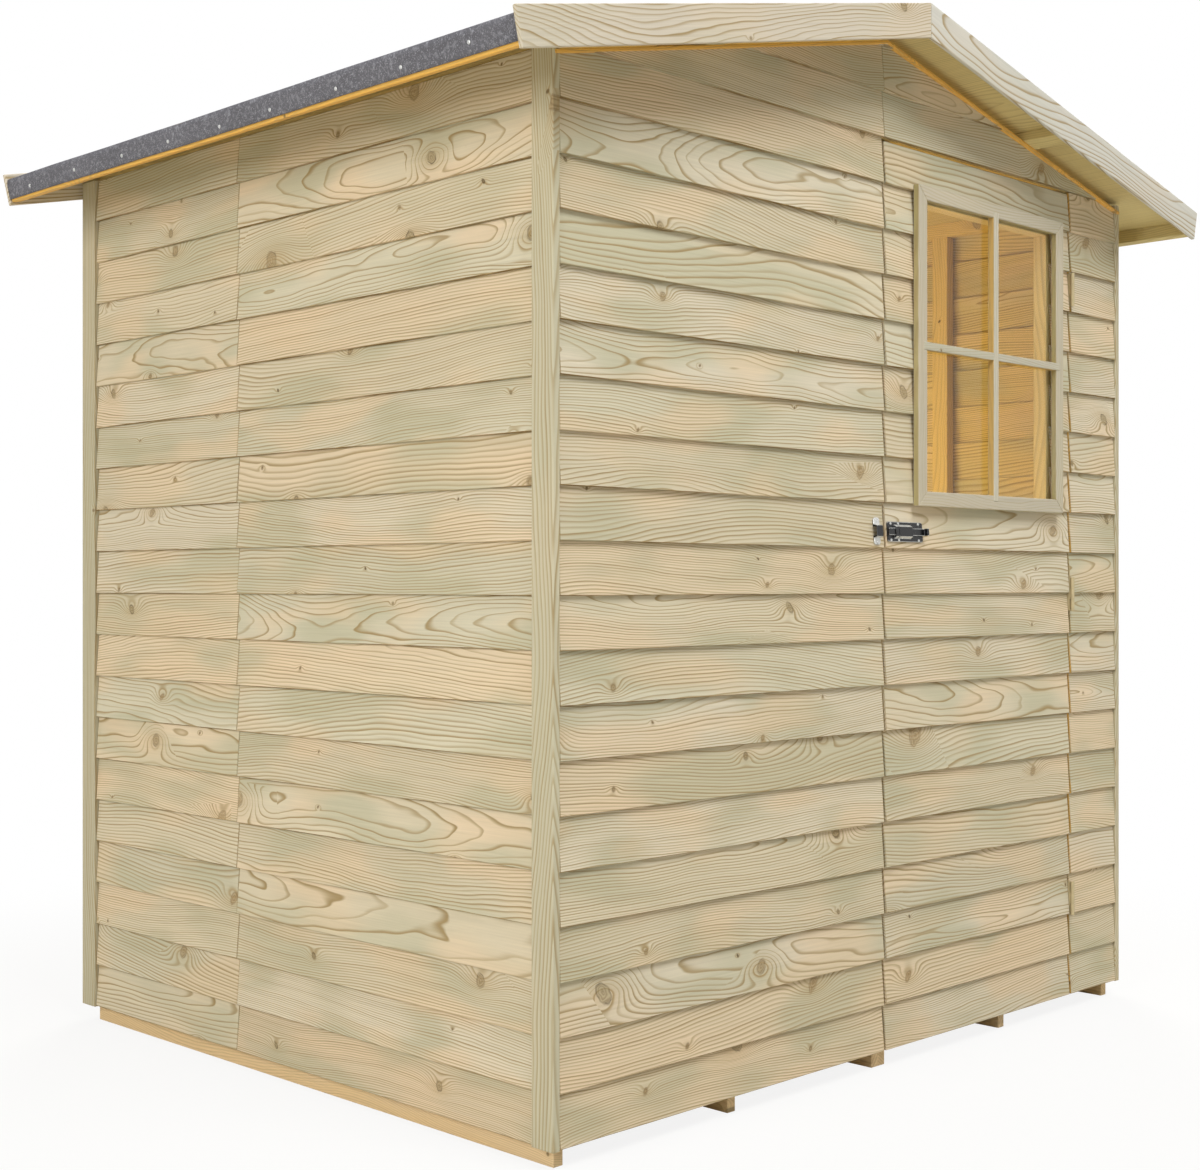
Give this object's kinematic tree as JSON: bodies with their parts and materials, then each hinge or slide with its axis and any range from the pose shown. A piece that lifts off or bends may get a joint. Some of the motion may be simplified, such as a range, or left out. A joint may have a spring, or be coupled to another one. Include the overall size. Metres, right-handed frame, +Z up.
{
  "type": "wooden garden shed",
  "caption": "Small apex garden shed of lapped timber boards on floor bearers, with a felted roof, barge boards and an outward-opening glazed door held by a sliding bolt.",
  "frame": {"origin": "on the ground, under the middle of the roof's outline", "axes": "+Z up, -Y out of the front wall with the door, +X to the right seen from the front"},
  "size_m": [2.1874, 1.632, 2.0887],
  "materials": {
    "weatherboard": "sawn pressure-treated softwood, unpainted",
    "trim_timber": "planed pressure-treated softwood, unpainted",
    "frame_timber": "sawn softwood, unpainted",
    "floor_timber": "sawn softwood, unpainted",
    "roofing_felt": "mineral-faced bitumen felt, matt",
    "clear_glass": "clear, smooth",
    "hinge_steel": "zinc plated",
    "black_steel": "black japanned, semi-gloss"
  },
  "bodies": {
    "shed": {"floor_left": "floor_timber", "floor_right": "floor_timber", "bearers_left": "floor_timber", "bearers_right": "floor_timber", "front_wall_left": "weatherboard", "front_wall_right": "weatherboard", "front_wall_gable": "weatherboard", "back_wall": "weatherboard", "left_wall": "weatherboard", "right_wall": "weatherboard", "corner_strip_front_left": "trim_timber", "corner_strip_front_right": "trim_timber", "corner_strip_back_left": "trim_timber", "corner_strip_back_right": "trim_timber", "front_wall_studs": "frame_timber", "front_wall_rails": "frame_timber", "back_wall_studs": "frame_timber", "back_wall_rails": "frame_timber", "left_wall_studs": "frame_timber", "left_wall_rails": "frame_timber", "right_wall_studs": "frame_timber", "right_wall_rails": "frame_timber", "door_header": "frame_timber", "roof_panel_left": "frame_timber", "roof_panel_right": "frame_timber", "eave_batten_left": "frame_timber", "eave_batten_right": "frame_timber", "purlin_left": "frame_timber", "purlin_right": "frame_timber", "front_barge_board_left": "trim_timber", "front_barge_board_right": "trim_timber", "back_barge_board_left": "trim_timber", "back_barge_board_right": "trim_timber", "roof_felt": "roofing_felt", "hinge_frame_leaves": "hinge_steel", "bolt_keeper": "black_steel"},
    "door": {"door_boards_below_window": "weatherboard", "door_boards_above_window": "weatherboard", "door_boards_beside_window": "weatherboard", "door_stiles": "frame_timber", "door_rails": "frame_timber", "door_brace": "frame_timber", "window_jambs": "trim_timber", "window_head_and_sill": "trim_timber", "window_glass": "clear_glass", "hinge_door_leaves": "hinge_steel", "bolt_plate": "black_steel"},
    "bolt": {"bolt_bar": "black_steel"}
  },
  "joints": [
    {"name": "door_hinge", "type": "hinge", "parent": "shed", "child": "door", "pos_m": [0.69725, -0.7155, 0.9], "axis": [0, 0, 1], "range_deg": [0, 105]},
    {"name": "bolt_slide", "type": "slide", "parent": "door", "child": "bolt", "axis": [-1, 0, 0], "range_m": [0, 0.036]}
  ]
}
